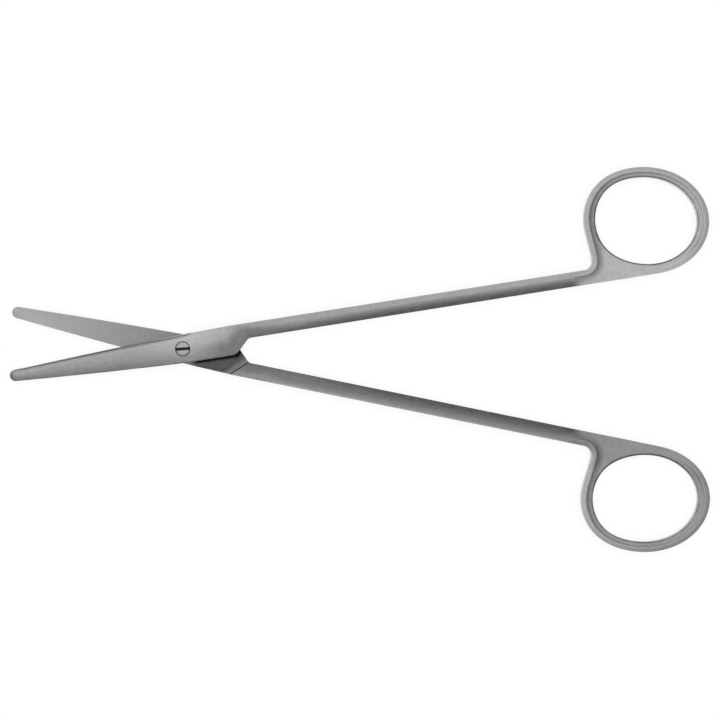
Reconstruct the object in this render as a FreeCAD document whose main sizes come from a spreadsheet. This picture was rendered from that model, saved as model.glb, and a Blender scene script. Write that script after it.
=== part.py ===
# Dissecting scissors, slim surgical pattern, about 18 cm long.
# Two forged halves cross in a lap joint and turn on a slotted flush screw.
# Millimetres. The origin is where the pivot axis meets the table side of the
# joint, +X runs along the scissors from the pivot to the finger rings, +Y is
# to the left seen from above and +Z points up through the slot of the screw.
import FreeCAD, Part
import math
import os
import Sketcher

os.makedirs("parts", exist_ok=True)
doc = FreeCAD.newDocument("dissecting_scissors")

# Driving dimensions
# Plan sizes are taken from the pivot, on a half that lies with its centre
# line along X, its ring on the +Y side and its flat inner face at height 0.
DRIVING = [
    ("blade_length", 43.8, "pivot to blade tip"),
    ("tip_width", 2.84, "blade width at the rounded tip"),
    ("tip_thick", 0.95, "thickness of one blade at the tip"),
    ("blade_belly", 0.15, "how far each side of the blade bows out"),
    ("bevel_width", 0.28, "width of the sharpened bevel seen from above"),
    ("bevel_tip", 0.78, "height of the bevel at the tip"),
    ("bevel_joint", 2.0, "height of the side wall at the joint"),
    ("back_joint", 1.9, "height of the back wall at the joint"),
    ("back_tip", 0.68, "height of the back wall at the tip"),
    ("crest_tip", 0.5, "width of the level crest at the tip"),
    ("crest_joint", 2.4, "width of the level crest at the joint"),
    ("joint_width", 7.1, "width of the joint"),
    ("joint_thick", 2.25, "thickness of one half at the joint"),
    ("land_depth", 0.08, "what the flat land is ground off the crown"),
    ("joint_reach", 12.5, "pivot to where the hook end begins to fall"),
    ("hook_end", 24.0, "pivot to where the hook end has blended into the shank"),
    ("hook_reach", 16.4, "pivot to where the slanted hook end meets the centre line"),
    ("hook_corner", 2.0, "corner radius of the hook end"),
    ("hook_fillet", 1.5, "fillet between hook end and shank"),
    ("shoulder_gap", 0.3, "gap between hook end and shoulder when closed"),
    ("lap_clearance", 0.02, "gap between the two flat inner faces"),
    ("closed_gap", 0.24, "gap between the shanks when closed"),
    ("shank_front", 3.78, "shank width behind the joint"),
    ("shank_rear", 3.62, "shank width in front of the ring"),
    ("shank_thick", 3.2, "shank thickness"),
    ("shank_crest", 0.62, "place of the shank's crest, as a share of its width"),
    ("shank_edge", 1.4, "height of the shank's inner side"),
    ("shank_rim", 2.7, "height of the shank's outer side"),
    ("root_thick", 4.3, "thickness of the shank at the shoulder"),
    ("root_edge", 3.5, "height of the shank's sides at the shoulder"),
    ("hook_edge", 2.1, "height of the shank's inner side where the hook end has blended in"),
    ("settle_end", 38.0, "pivot to where the shank has its final section"),
    ("overlap", 0.3, "how far stretches of one forging run into each other"),
    ("neck_start", 97.0, "pivot to where the shank thins towards the web"),
    ("ring_distance", 119.65, "pivot to ring centre along the shank"),
    ("hole_length", 25.9, "finger hole, long way"),
    ("hole_width", 21.4, "finger hole, short way"),
    ("ring_lean", 12.3, "lean of the ring's long axis in degrees"),
    ("band_end", 3.0, "ring band width at the ends"),
    ("band_side", 2.6, "ring band width at the sides"),
    ("ring_thick", 3.0, "ring thickness at its crest"),
    ("ring_round", 0.5, "rounding of the outer edges of the ring"),
    ("rim_edge", 2.0, "ring thickness at the finger hole"),
    ("rim_slope", 1.25, "width of the slope from the crest to the finger hole"),
    ("web_thick", 1.9, "thickness of the web between shank and ring"),
    ("neck_fillet", 2.0, "fillet between shank and ring"),
    ("neck_rib", 2.5, "width of the rib that runs up the neck"),
    ("web_slope", 65, "slant of the slopes down to the web, in degrees from upright"),
    ("web_end", 5.0, "ring centre to where the web meets the rim again, along the shank"),
    ("elbow_radius", 5.0, "radius of the slope that ends the shank on the web"),
    ("head_diameter", 3.6, "screw head"),
    ("head_height", 0.9, "height of the screw head"),
    ("head_clearance", 0.05, "gap around and below the screw head"),
    ("head_chamfer", 0.07, "broken edge of the screw head"),
    ("bearing_diameter", 2.7, "plain stretch that the upper half turns on"),
    ("bearing_clearance", 0.02, "running gap around the bearing stretch"),
    ("thread_diameter", 2.2, "stretch screwed into the lower half"),
    ("thread_clearance", 0.01, "gap around the screwed stretch"),
    ("slot_width", 0.58, "screwdriver slot"),
    ("slot_depth", 0.5, "depth of the screwdriver slot"),
    ("slot_turn", 5.3, "turn of the slot from the X axis in degrees"),
    ("rest_opening", 20.5, "angle between the halves as they lie, in degrees"),
]

# Shares of the way from the rounded tip to the pivot, and on to the hook end
BLADE_STATIONS = (-0.04, 0.22, 0.48, 0.74, 1.0)
JOINT_STATIONS = (0.6, 1.0)
# Cutting shapes run past the surfaces that they cut by this factor
PAST = 1.5

sheet = doc.addObject("Spreadsheet::Sheet", "sizes")
for row, (alias, value, note) in enumerate(DRIVING, start=1):
    sheet.set(f"A{row}", note)
    sheet.set(f"B{row}", str(value))
    sheet.setAlias(f"B{row}", alias)
doc.recompute()


# Sizes that know both their value and their sheet formula
class Size:
    def __init__(self, value, formula):
        self.value = value
        self.formula = formula

    def join(self, other, sign, value):
        return Size(value, f"({self.formula} {sign} {size(other).formula})")

    def __add__(self, other):
        return self.join(other, "+", self.value + size(other).value)

    def __sub__(self, other):
        return self.join(other, "-", self.value - size(other).value)

    def __mul__(self, other):
        return self.join(other, "*", self.value * size(other).value)

    def __truediv__(self, other):
        return self.join(other, "/", self.value / size(other).value)

    def __neg__(self):
        return size(0) - self

    def root(self):
        return Size(math.sqrt(self.value), f"sqrt({self.formula})")

    def sine(self):
        return Size(math.sin(math.radians(self.value)), f"sin({self.formula} * 1 deg)")

    def cosine(self):
        return Size(math.cos(math.radians(self.value)), f"cos({self.formula} * 1 deg)")


def size(item):
    return item if isinstance(item, Size) else Size(float(item), f"({item})")


def cell(alias):
    return Size(dict((name, value) for name, value, _ in DRIVING)[alias], f"sizes.{alias}")


def between(first, last, share):
    return first + (last - first) * share


def bulge_radius(run, rise):
    """Radius of an arc that starts level and falls by rise over run."""
    return (run * run + rise * rise) / (rise * 2)


# Values worked out from the driving ones
joint_half = cell("joint_width") / 2
tip_half = cell("tip_width") / 2
tip_start = cell("blade_length") - tip_half
inner_edge = cell("closed_gap") / 2
shank_outer_front = inner_edge + cell("shank_front")
shank_outer_rear = inner_edge + cell("shank_rear")
shank_half = cell("shank_thick") / 2
ring_half = cell("ring_thick") / 2
web_half = cell("web_thick") / 2
hole_long = cell("hole_length") / 2
hole_short = cell("hole_width") / 2
ring_long = hole_long + cell("band_end")
ring_short = hole_short + cell("band_side")
lean_sine = cell("ring_lean").sine()
lean_cosine = cell("ring_lean").cosine()
half_height = (ring_long * ring_long * lean_sine * lean_sine
               + ring_short * ring_short * lean_cosine * lean_cosine).root()
half_length = (ring_long * ring_long * lean_cosine * lean_cosine
               + ring_short * ring_short * lean_sine * lean_sine).root()
skew = (ring_long * ring_long - ring_short * ring_short) * lean_sine * lean_cosine
ring_x = cell("ring_distance")
ring_y = inner_edge + half_height
ring_left = ring_x - half_length
neck_join = ring_left - cell("neck_fillet") - cell("overlap")
tan_eighth = math.tan(math.pi / 8)
slant = math.sqrt(0.5)
shank_start = cell("joint_reach") - cell("overlap")
upper_floor = cell("joint_thick") + cell("lap_clearance")
total_thick = upper_floor + cell("joint_thick")


# Sketch helpers
def origin_plane(body, role):
    return next(item for item in body.Origin.OriginFeatures if item.Role == role)


def new_sketch(body, name, role, offset):
    sketch = body.newObject("Sketcher::SketchObject", name)
    sketch.AttachmentSupport = [(origin_plane(body, role), "")]
    sketch.MapMode = "FlatFace"
    sketch.AttachmentOffset.Base.z = offset.value
    sketch.setExpression("AttachmentOffset.Base.z", offset.formula)
    return sketch


def hold(sketch, kind, *where, to):
    number = sketch.addConstraint(Sketcher.Constraint(kind, *where, to.value))
    sketch.setExpression(f"Constraints[{number}]", to.formula)


def hold_point(sketch, edge, end, point):
    hold(sketch, "DistanceX", edge, end, to=point[0])
    hold(sketch, "DistanceY", edge, end, to=point[1])


def arc_between(start, end, radius, turn):
    """Arc from start to end; turn is 1 for a left turn and -1 for a right turn."""
    chord = end - start
    rise = math.sqrt(max(radius ** 2 - chord.Length ** 2 / 4, 0.0))
    normal = FreeCAD.Vector(-chord.y, chord.x, 0).normalize() * turn
    centre = (start + end) / 2 + normal * rise
    first, last = (start, end) if turn > 0 else (end, start)
    low = math.atan2(first.y - centre.y, first.x - centre.x)
    high = math.atan2(last.y - centre.y, last.x - centre.x)
    if high < low:
        high += 2 * math.pi
    circle = Part.Circle(centre, FreeCAD.Vector(0, 0, 1), radius)
    return Part.ArcOfCircle(circle, low, high)


def outline(sketch, corners):
    """Closed outline. A corner is (x, y), or (x, y, radius, turn) where the edge
    that leaves it is an arc."""
    points = [(size(corner[0]), size(corner[1])) for corner in corners]
    spots = [FreeCAD.Vector(x.value, y.value, 0) for x, y in points]
    count = len(corners)
    ends = []
    for index, corner in enumerate(corners):
        start, end = spots[index], spots[(index + 1) % count]
        if len(corner) == 2:
            sketch.addGeometry(Part.LineSegment(start, end), False)
            ends.append((1, 2))
        else:
            radius, turn = size(corner[2]), corner[3]
            sketch.addGeometry(arc_between(start, end, radius.value, turn), False)
            ends.append((1, 2) if turn > 0 else (2, 1))
    for index in range(count):
        following = (index + 1) % count
        sketch.addConstraint(Sketcher.Constraint(
            "Coincident", index, ends[index][1], following, ends[following][0]))
    for index, corner in enumerate(corners):
        hold_point(sketch, index, ends[index][0], points[index])
        if len(corner) > 2:
            hold(sketch, "Radius", index, to=size(corner[2]))


def ellipse(sketch, centre, long_half, short_half, lean):
    """Ellipse whose long axis leans down by the lean angle."""
    middle = FreeCAD.Vector(centre[0].value, centre[1].value, 0)
    along = FreeCAD.Vector(lean.cosine().value, -lean.sine().value, 0)
    across = FreeCAD.Vector(-along.y, along.x, 0)
    shape = Part.Ellipse(middle + along * long_half.value,
                         middle + across * short_half.value, middle)
    sketch.addGeometry(shape, False)
    sketch.exposeInternalGeometry(0)
    hold_point(sketch, 0, 3, centre)
    hold(sketch, "Distance", 1, to=long_half * 2)
    hold(sketch, "Distance", 2, to=short_half * 2)
    far = centre[0] + long_half * lean.cosine()
    hold(sketch, "DistanceX", 1, 1 if sketch.Geometry[1].StartPoint.x > middle.x else 2, to=far)


def circle(sketch, diameter):
    shape = Part.Circle(FreeCAD.Vector(0, 0, 0), FreeCAD.Vector(0, 0, 1), diameter.value / 2)
    sketch.addGeometry(shape, False)
    sketch.addConstraint(Sketcher.Constraint("Coincident", 0, 3, -1, 1))
    hold(sketch, "Diameter", 0, to=diameter)


# Feature helpers
def pad_both_ways(body, name, sketch, length):
    pad = body.newObject("PartDesign::Pad", name)
    pad.Profile = sketch
    pad.SideType = "Symmetric"
    pad.Length = length.value
    pad.setExpression("Length", length.formula)
    return pad


def pocket(body, name, sketch, length, upwards, taper=None):
    cut = body.newObject("PartDesign::Pocket", name)
    cut.Profile = sketch
    cut.Length = length.value
    cut.setExpression("Length", length.formula)
    cut.Reversed = upwards
    if taper:
        cut.TaperAngle = taper.value
        cut.setExpression("TaperAngle", taper.formula)
    return cut


def loft(body, name, kind, sections):
    shape = body.newObject(f"PartDesign::{kind}", name)
    shape.Profile = (sections[0], [""])
    shape.Sections = [(section, [""]) for section in sections[1:]]
    return shape


# Sections of one half, seen along the shank
def face_section(body, name, station, outer, inner, wall, back, crest, height, bevel, shift):
    """Section of blade or joint: flat below, bevel outside, rounded above."""
    sketch = new_sketch(body, name, "YZ_Plane", station)
    crest_half = crest / 2
    front = bulge_radius(outer - bevel - shift - crest_half, height - wall)
    rear = bulge_radius(shift - crest_half - inner, height - back)
    outline(sketch, [
        (inner, 0),
        (outer, 0),
        (outer - bevel, wall, front, 1),
        (shift + crest_half, height),
        (shift - crest_half, height, rear, 1),
        (inner, back),
    ])
    return sketch


def blade_section(body, name, share):
    """Section of the blade; share is 0 where the tip is rounded and 1 at the pivot."""
    half = between(tip_half, joint_half, share) + cell("blade_belly") * (share * 4 * (1 - share))
    crown = cell("joint_thick") + cell("land_depth")
    return face_section(
        body, name, -tip_start * (1 - share), half, -half,
        between(cell("bevel_tip"), cell("bevel_joint"), share),
        between(cell("back_tip"), cell("back_joint"), share),
        between(cell("crest_tip"), cell("crest_joint"), share),
        between(cell("tip_thick"), crown, share),
        cell("bevel_width") * (1 - share / 2), size(0))


def shank_section(body, name, station, outer, half_thick, rim, edge, outer_run, inner_run):
    """Section of the shank, alike on both faces: upright sides as high as rim and
    edge, arcs that rise over outer_run and inner_run, and a level crest between."""
    sketch = new_sketch(body, name, "YZ_Plane", station)
    outer_side, inner_side = size(rim) / 2, size(edge) / 2
    outer_arc = bulge_radius(outer_run, half_thick - outer_side)
    inner_arc = bulge_radius(inner_run, half_thick - inner_side)
    outline(sketch, [
        (outer, -outer_side),
        (outer, outer_side, outer_arc, 1),
        (outer - outer_run, half_thick),
        (inner_edge + inner_run, half_thick, inner_arc, 1),
        (inner_edge, inner_side),
        (inner_edge, -inner_side, inner_arc, 1),
        (inner_edge + inner_run, -half_thick),
        (outer - outer_run, -half_thick, outer_arc, 1),
    ])
    return sketch


def crest_section(body, name, station, outer, half_thick, rim, edge):
    """Shank section with a narrow crest nearer to the outer side."""
    width = outer - inner_edge
    inner_run = width * cell("shank_crest")
    outer_run = width - inner_run - cell("crest_tip")
    return shank_section(body, name, station, outer, half_thick, rim, edge, outer_run, inner_run)


# One half: ring and web first, then shank, joint and blade, then the cuts
def add_ring(body, name):
    """Oval plate and neck plate, with the outer edges rounded on both faces."""
    disc = new_sketch(body, f"{name}_ring_outline", "XY_Plane", size(0))
    ellipse(disc, (ring_x, ring_y), ring_long, ring_short, cell("ring_lean"))
    pad_both_ways(body, f"{name}_ring", disc, cell("ring_thick"))

    fillet = cell("neck_fillet")
    web = new_sketch(body, f"{name}_web_outline", "XY_Plane", size(0))
    outline(web, [
        (neck_join, inner_edge),
        (ring_x + skew / half_height, inner_edge),
        (ring_x + skew / half_height, ring_y),
        (ring_left, ring_y + skew / half_length),
        (ring_left, shank_outer_rear + fillet, fillet, -1),
        (ring_left - fillet, shank_outer_rear),
        (neck_join, shank_outer_rear),
    ])
    plate = pad_both_ways(body, f"{name}_web", web, cell("ring_thick"))
    doc.recompute()

    tolerance = 0.001
    rim = [f"Edge{number}" for number, edge in enumerate(plate.Shape.Edges, start=1)
           if edge.BoundBox.ZLength < tolerance and edge.BoundBox.XMax > neck_join.value + tolerance]
    rounding = body.newObject("PartDesign::Fillet", f"{name}_ring_rounding")
    rounding.Base = (plate, rim)
    rounding.setExpression("Radius", cell("ring_round").formula)
    doc.recompute()


def add_shank(body, name):
    """Shank that is thick at the shoulder, thins to its crested section, squares up
    at the neck plate and stops short at the lap."""
    round_over = cell("ring_round")
    flat_side = cell("ring_thick") - round_over * 2
    rim, edge = cell("shank_rim"), cell("shank_edge")
    root = crest_section(body, f"{name}_root_section", shank_start, shank_outer_front,
                         cell("root_thick") / 2, cell("root_edge"), cell("root_edge"))
    blend = crest_section(body, f"{name}_blend_section", cell("hook_end"), shank_outer_front,
                          shank_half, rim, cell("hook_edge"))
    settled = crest_section(body, f"{name}_settled_section", cell("settle_end"),
                            shank_outer_front, shank_half, rim, edge)
    neck = crest_section(body, f"{name}_neck_section", cell("neck_start"), shank_outer_rear,
                         shank_half, rim, edge)
    join = shank_section(body, f"{name}_join_section", neck_join, shank_outer_rear, ring_half,
                         flat_side, flat_side, round_over, round_over)
    loft(body, f"{name}_shank_root", "AdditiveLoft", [root, blend])
    loft(body, f"{name}_shank_blend", "AdditiveLoft", [blend, settled])
    loft(body, f"{name}_shank", "AdditiveLoft", [settled, neck])
    loft(body, f"{name}_shank_end", "AdditiveLoft", [neck, join])

    # The lap: below the inner face the shank starts at a slanted shoulder
    wide = cell("joint_width")
    shoulder = cell("hook_reach") + cell("shoulder_gap")
    lap = new_sketch(body, f"{name}_lap_outline", "XY_Plane", size(0))
    outline(lap, [
        (0, -wide),
        (shoulder + wide, -wide),
        (shoulder - wide, wide),
        (0, wide),
    ])
    pocket(body, f"{name}_lap", lap, cell("shank_thick"), False)


def joint_section(body, name, share):
    """Section of the joint; share is 0 at the pivot and 1 where the hook end begins."""
    return face_section(
        body, name, cell("joint_reach") * share,
        between(joint_half, shank_outer_front, share), -joint_half,
        cell("bevel_joint"), cell("back_joint"), cell("crest_joint"),
        cell("joint_thick") + cell("land_depth"),
        cell("bevel_width") / 2 * (1 - share), size(0))


def add_blade(body, name):
    """Blade and joint in one tapering sweep, then the hook end down to the shank."""
    stretch = [blade_section(body, f"{name}_blade_section_{number}", share)
               for number, share in enumerate(BLADE_STATIONS, start=1)]
    stretch += [joint_section(body, f"{name}_joint_section_{number}", share)
                for number, share in enumerate(JOINT_STATIONS, start=1)]
    loft(body, f"{name}_blade", "AdditiveLoft", stretch)

    crest_middle = inner_edge + cell("shank_front") * cell("shank_crest") + cell("crest_tip") / 2
    hook = face_section(
        body, f"{name}_hook_section", cell("hook_end"), shank_outer_front, inner_edge,
        cell("shank_rim") / 2, cell("hook_edge") / 2, cell("crest_tip"), shank_half, size(0),
        crest_middle)
    loft(body, f"{name}_hook", "AdditiveLoft", [stretch[-1], hook])


def make_half(name):
    body = doc.addObject("PartDesign::Body", name)
    body.Label = name
    add_ring(body, name)
    add_shank(body, name)
    add_blade(body, name)
    cut_plan(body, name)
    cut_ring(body, name)
    doc.recompute()
    return body


def rectangle(sketch, low_x, low_y, high_x, high_y):
    outline(sketch, [(low_x, low_y), (high_x, low_y), (high_x, high_y), (low_x, high_y)])


def cut_plan(body, name):
    """Ground land, rounded tip and slanted hook end."""
    wide = cell("joint_width")
    land = new_sketch(body, f"{name}_land_outline", "XY_Plane", cell("joint_thick"))
    rectangle(land, -cell("blade_length"), -wide, cell("ring_distance"), wide)
    pocket(body, f"{name}_land", land, cell("land_depth") * 2, True)

    tip = new_sketch(body, f"{name}_tip_outline", "XY_Plane", size(0))
    outline(tip, [
        (-cell("blade_length") - wide, -wide),
        (-tip_start, -wide),
        (-tip_start, -tip_half, tip_half, -1),
        (-cell("blade_length"), 0, tip_half, -1),
        (-tip_start, tip_half),
        (-tip_start, wide),
        (-cell("blade_length") - wide, wide),
    ])
    pocket(body, f"{name}_tip", tip, wide, True)

    corner_run = cell("hook_corner") * tan_eighth
    fillet_run = cell("hook_fillet") * tan_eighth
    corner_x = cell("hook_reach") - joint_half
    fillet_x = cell("hook_reach") + inner_edge
    past_hook = cell("hook_end") * PAST
    hook = new_sketch(body, f"{name}_hook_outline", "XY_Plane", size(0))
    outline(hook, [
        (corner_x - corner_run, -wide),
        (past_hook, -wide),
        (past_hook, inner_edge),
        (fillet_x + fillet_run, inner_edge, cell("hook_fillet"), 1),
        (fillet_x - fillet_run * slant, inner_edge - fillet_run * slant),
        (corner_x + corner_run * slant, -joint_half + corner_run * slant, cell("hook_corner"), -1),
        (corner_x - corner_run, -joint_half),
    ])
    pocket(body, f"{name}_hook_cut", hook, wide, True)


def cut_ring(body, name):
    """Web lower than the rim on both faces, finger hole and its sloping edges."""
    centre = (ring_x, ring_y)
    rib = ring_left + cell("neck_rib")
    elbow = cell("elbow_radius")
    foot = inner_edge + cell("overlap")
    far = cell("web_end")
    for side, label, upwards in ((1, "upper", True), (-1, "lower", False)):
        recess = new_sketch(body, f"{name}_{label}_web_outline", "XY_Plane", web_half * side)
        outline(recess, [
            (rib - elbow, -far),
            (ring_x + far, -far),
            (ring_x + far * 2, ring_y - far),
            (rib, ring_y),
            (rib, foot + elbow, elbow, -1),
            (rib - elbow, foot),
        ])
        depth = cell("ring_thick") - cell("web_thick")
        pocket(body, f"{name}_{label}_web_recess", recess, depth, upwards, cell("web_slope"))

    hole = new_sketch(body, f"{name}_finger_hole_outline", "XY_Plane", -ring_half)
    ellipse(hole, centre, hole_long, hole_short, cell("ring_lean"))
    pocket(body, f"{name}_finger_hole", hole, cell("ring_thick"), True)

    rim_half = cell("rim_edge") / 2
    beyond = cell("rim_slope") * PAST
    top = rim_half + (ring_half - rim_half) * PAST
    for side, label in ((1, "upper"), (-1, "lower")):
        narrow = new_sketch(body, f"{name}_{label}_slope_foot", "XY_Plane", rim_half * side)
        ellipse(narrow, centre, hole_long, hole_short, cell("ring_lean"))
        broad = new_sketch(body, f"{name}_{label}_slope_top", "XY_Plane", top * side)
        ellipse(broad, centre, hole_long + beyond, hole_short + beyond, cell("ring_lean"))
        loft(body, f"{name}_{label}_slope", "SubtractiveLoft", [narrow, broad])


def bore(body, name, diameter, start, length):
    """Round hole on the pivot axis, cut upwards from a height."""
    ring = new_sketch(body, f"{name}_outline", "XY_Plane", start)
    circle(ring, diameter)
    pocket(body, name, ring, length, True)


def make_screw(name):
    """Slotted screw: flush head, plain bearing stretch and screwed stretch."""
    body = doc.addObject("PartDesign::Body", name)
    body.Label = name
    head = cell("head_diameter") / 2
    bearing = cell("bearing_diameter") / 2
    thread = cell("thread_diameter") / 2
    chamfer = cell("head_chamfer")
    under_head = total_thick - cell("head_height")
    profile = new_sketch(body, f"{name}_profile", "XZ_Plane", size(0))
    outline(profile, [
        (0, 0),
        (thread, 0),
        (thread, cell("joint_thick")),
        (bearing, cell("joint_thick")),
        (bearing, under_head),
        (head, under_head),
        (head, total_thick - chamfer),
        (head - chamfer, total_thick),
        (0, total_thick),
    ])
    turned = body.newObject("PartDesign::Revolution", f"{name}_turned")
    turned.Profile = profile
    turned.ReferenceAxis = (profile, ["V_Axis"])
    turned.Angle = 360

    slot = new_sketch(body, f"{name}_slot_outline", "XY_Plane", total_thick)
    half = cell("slot_width") / 2
    rectangle(slot, -head * 2, -half, head * 2, half)
    slot.AttachmentOffset.Rotation = FreeCAD.Rotation(FreeCAD.Vector(0, 0, 1), cell("slot_turn").value)
    slot.setExpression("AttachmentOffset.Rotation.Angle", cell("slot_turn").formula)
    pocket(body, f"{name}_slot", slot, cell("slot_depth"), False)
    return body


# The three pieces in their places
upper = make_half("upper_half")
bearing_bore = cell("bearing_diameter") + cell("bearing_clearance") * 2
head_bore = cell("head_diameter") + cell("head_clearance") * 2
seat_floor = cell("joint_thick") - cell("head_height") - cell("head_clearance")
bore(upper, "upper_bearing_bore", bearing_bore, size(0), total_thick)
bore(upper, "upper_head_seat", head_bore, seat_floor, total_thick)

lower = make_half("lower_half")
thread_bore = cell("thread_diameter") + cell("thread_clearance") * 2
bore(lower, "lower_thread_bore", thread_bore, size(0), total_thick)

screw = make_screw("pivot_screw")

half_turn = cell("rest_opening") / 2
up = FreeCAD.Vector(0, 0, 1)
turned_over = FreeCAD.Rotation(FreeCAD.Vector(1, 0, 0), 180)
upper.Placement = FreeCAD.Placement(
    up * upper_floor.value, FreeCAD.Rotation(up, half_turn.value))
upper.setExpression("Placement.Base.z", upper_floor.formula)
upper.setExpression("Placement.Rotation.Angle", half_turn.formula)
lower.Placement = FreeCAD.Placement(
    up * cell("joint_thick").value, FreeCAD.Rotation(up, -half_turn.value) * turned_over)
lower.setExpression("Placement.Base.z", cell("joint_thick").formula)
doc.recompute()

# Every object is sound, then each piece is written
for item in doc.Objects:
    if "Invalid" in item.State or "Error" in item.State:
        raise RuntimeError(f"{item.Name} did not build: {item.State}")
for piece in (upper, lower, screw):
    shape = piece.Shape
    if shape.isNull() or not shape.isValid() or len(shape.Solids) != 1:
        raise RuntimeError(f"{piece.Label} is not one sound solid")
    shape.exportStep(f"parts/{piece.Label}.step")
    box = shape.optimalBoundingBox()
    sides = f"{box.XLength:.2f} x {box.YLength:.2f} x {box.ZLength:.2f} mm"
    print(f"{piece.Label}: {shape.Volume:.1f} mm3, {sides}")
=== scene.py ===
# %% [markdown]
# # Dissecting scissors
# Slim surgical scissors of satin stainless steel, about 18 cm long. Two forged
# halves cross in a lap joint and turn on a slotted screw. This lesson dresses
# the imported model: it shapes one half, copies it for the other side, turns the
# screw, brushes the steel and sets up the light and the camera.
#
# The imported model is loaded first. It is the frame that every new piece has to
# fit.

# %% Load the frame
import math

import bmesh
import bpy
import numpy as np
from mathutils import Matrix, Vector


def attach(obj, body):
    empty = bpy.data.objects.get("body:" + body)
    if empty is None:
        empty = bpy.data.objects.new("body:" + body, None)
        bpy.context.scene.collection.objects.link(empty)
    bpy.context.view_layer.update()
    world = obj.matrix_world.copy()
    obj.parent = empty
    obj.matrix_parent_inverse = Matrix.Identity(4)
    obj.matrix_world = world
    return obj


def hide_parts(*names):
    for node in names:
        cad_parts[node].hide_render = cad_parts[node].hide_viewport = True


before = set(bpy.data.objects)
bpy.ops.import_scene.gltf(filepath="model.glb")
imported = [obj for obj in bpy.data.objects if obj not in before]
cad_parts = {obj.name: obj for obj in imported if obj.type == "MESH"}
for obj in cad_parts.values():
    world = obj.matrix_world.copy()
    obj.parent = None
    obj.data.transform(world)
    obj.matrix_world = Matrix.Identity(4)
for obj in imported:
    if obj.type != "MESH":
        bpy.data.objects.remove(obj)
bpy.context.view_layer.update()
MM = 0.001

# %% [markdown]
# ## The half, seen from above
# A real half starts as one bar. It is forged flat at the blade, bent round
# into the finger ring at the other end and ground to its outline. It could be
# modelled by pushing a subdivided cube about, but the outline has to meet the
# frame within a tenth of a millimetre. So it is written down once, in
# millimetres, on a half that lies along X with its pivot at the origin: u runs
# from the pivot to the ring, v to the side that the ring is on.

# %% Sizes of the half
TIP_END, TIP_HALF = -43.8, 1.42
TIP_START = TIP_END + TIP_HALF
JOINT_HALF, BELLY = 3.55, 0.15
JOINT_REACH, HOOK_REACH = 12.5, 16.4
HOOK_CORNER, HOOK_FILLET = 2.0, 1.5
SHOULDER = HOOK_REACH + 0.3
INNER_EDGE, SHANK_FRONT, SHANK_REAR = 0.12, 3.90, 3.74
NECK_START, NECK_FILLET, NECK_IN = 97.0, 2.3, 0.6
RING_LONG, RING_SHORT = 15.8, 13.3
HOLE_LONG, HOLE_SHORT = 12.95, 10.82
# Angle round the ring, spread of the swelling and its share of the radius
RING_FULLER = [(135, 28, 0.034)]
HOLE_FULLER = [(135, 28, 0.042), (228, 24, 0.024)]
LEAN = math.radians(12.3)
ring_half_height = math.hypot(RING_LONG * math.sin(LEAN), RING_SHORT * math.cos(LEAN))
ring_half_length = math.hypot(RING_LONG * math.cos(LEAN), RING_SHORT * math.sin(LEAN))
RING_X, RING_Y = 119.65, INNER_EDGE + ring_half_height
RING_LEFT = RING_X - ring_half_length
elbow_x, elbow_y = RING_LEFT - NECK_FILLET + NECK_IN, SHANK_REAR + NECK_FILLET
print("ring centre", round(RING_X, 2), round(RING_Y, 2), "left side", round(RING_LEFT, 2))


# %% Outline of blade, joint and shank
def outer_line(u):
    """The side that carries the cutting edge and, further on, the ring."""
    share = 1 + u / -TIP_START
    blade = TIP_HALF + (JOINT_HALF - TIP_HALF) * share + BELLY * 4 * share * (1 - share)
    tip = np.sqrt(np.maximum(TIP_HALF ** 2 - (u - TIP_START) ** 2, 0))
    behind = np.interp(u, [0, JOINT_REACH, NECK_START], [JOINT_HALF, SHANK_FRONT, SHANK_REAR])
    return np.where(u < TIP_START, tip, np.where(u < 0, blade, behind))


def inner_line(u):
    """The back of the blade, the slanted hook end and the inner side of the shank."""
    run = math.tan(math.pi / 8)
    corner_u = HOOK_REACH - JOINT_HALF - HOOK_CORNER * run
    fillet_u = HOOK_REACH + INNER_EDGE + HOOK_FILLET * run
    corner = -JOINT_HALF + HOOK_CORNER - np.sqrt(np.maximum(
        HOOK_CORNER ** 2 - (u - corner_u) ** 2, 0))
    fillet = INNER_EDGE - HOOK_FILLET + np.sqrt(np.maximum(
        HOOK_FILLET ** 2 - (u - fillet_u) ** 2, 0))
    slant = math.sqrt(0.5)
    hook = np.where(u < corner_u + HOOK_CORNER * slant, corner,
                    np.where(u > fillet_u - HOOK_FILLET * slant, fillet, u - HOOK_REACH))
    side = np.where(u < corner_u, -JOINT_HALF, np.where(u > fillet_u, INNER_EDGE, hook))
    return np.where(u < 0, -outer_line(u), side)


def ellipse_point(long_half, short_half, angle, fuller):
    """Point of an ellipse that leans down by LEAN, round the ring's centre. It
    is fuller near some angles, because a hand bent the bar round a mandrel."""
    swell = 1 + sum(share * np.exp(-((angle - math.radians(place)) / math.radians(spread)) ** 2)
                    for place, spread, share in fuller)
    x, y = long_half * swell * np.cos(angle), short_half * swell * np.sin(angle)
    return np.stack([RING_X + x * math.cos(LEAN) + y * math.sin(LEAN),
                     RING_Y - x * math.sin(LEAN) + y * math.cos(LEAN)], axis=-1)


def ring_point(angle):
    return ellipse_point(RING_LONG, RING_SHORT, angle, RING_FULLER)


def hole_point(angle):
    return ellipse_point(HOLE_LONG, HOLE_SHORT, angle, HOLE_FULLER)


# %% [markdown]
# ## Rows across the bar
# A smith sees the half as one long bar that curls into the ring, so the skin
# gets its rows of faces across that bar: close together where the tip, the
# hook end and the neck turn, wide apart along the straight shank. The rows go
# through the neck and right round the finger hole. What stays open between
# neck and ring end is the flat web, which gets a patch of its own.

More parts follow.
